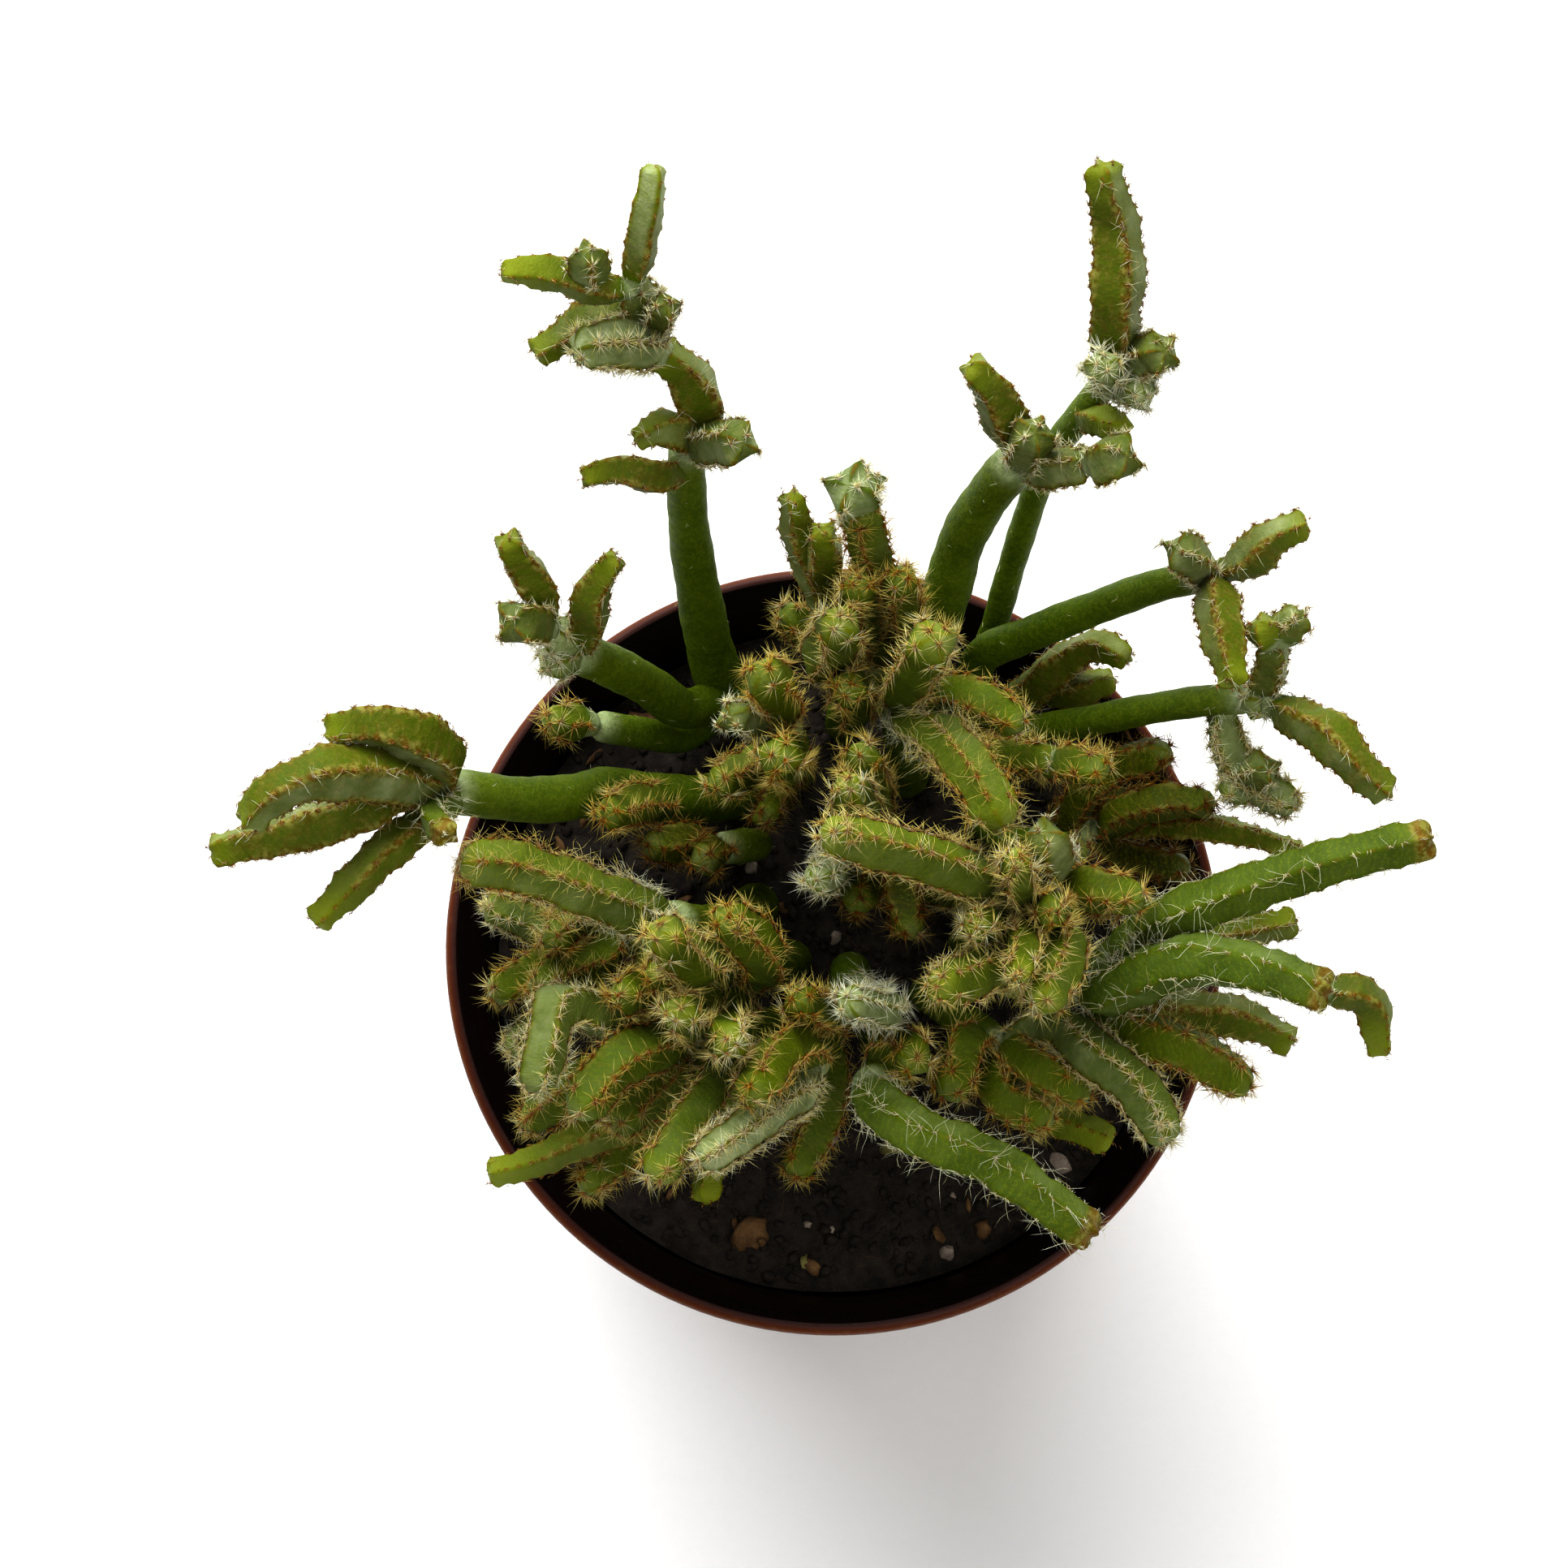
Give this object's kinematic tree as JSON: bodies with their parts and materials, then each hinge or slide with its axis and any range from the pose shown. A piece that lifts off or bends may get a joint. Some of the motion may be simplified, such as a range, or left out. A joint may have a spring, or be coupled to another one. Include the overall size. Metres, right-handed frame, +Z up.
{
  "type": "mistletoe cactus",
  "caption": "Young mistletoe cactus: bristly jointed stems branching out of dark soil in a small round plastic nursery pot.",
  "frame": {"origin": "middle of the pot's flat base, on the surface that the pot stands on", "axes": "+Z up along the pot's axis, +X to the right and +Y to the back as the plant is looked down on from the front"},
  "size_m": [0.1229, 0.1102, 0.1422],
  "materials": {
    "pot": "satin brown moulded plastic, lightly scuffed at the rim",
    "soil": "dark damp peat with bark and perlite pieces",
    "stems": "satin green skin with brown ribs, golden bristles and white hairs"
  },
  "bodies": {
    "root": {"pot": "pot", "soil": "soil", "stem_back_left": "stems", "stem_back_right": "stems", "stem_back_thin": "stems", "stem_right_upper": "stems", "stem_left": "stems", "stem_low_left": "stems", "stem_left_long": "stems", "stem_left_front": "stems", "stem_front_left": "stems", "stem_front_mid": "stems", "stem_front_long": "stems", "stem_front_right": "stems", "stem_right_front": "stems", "stem_right_low": "stems", "stem_tuft_back": "stems", "stem_tuft_left": "stems", "stem_tuft_top": "stems", "stem_tuft_right": "stems", "stem_tuft_mid": "stems"}
  },
  "joints": []
}
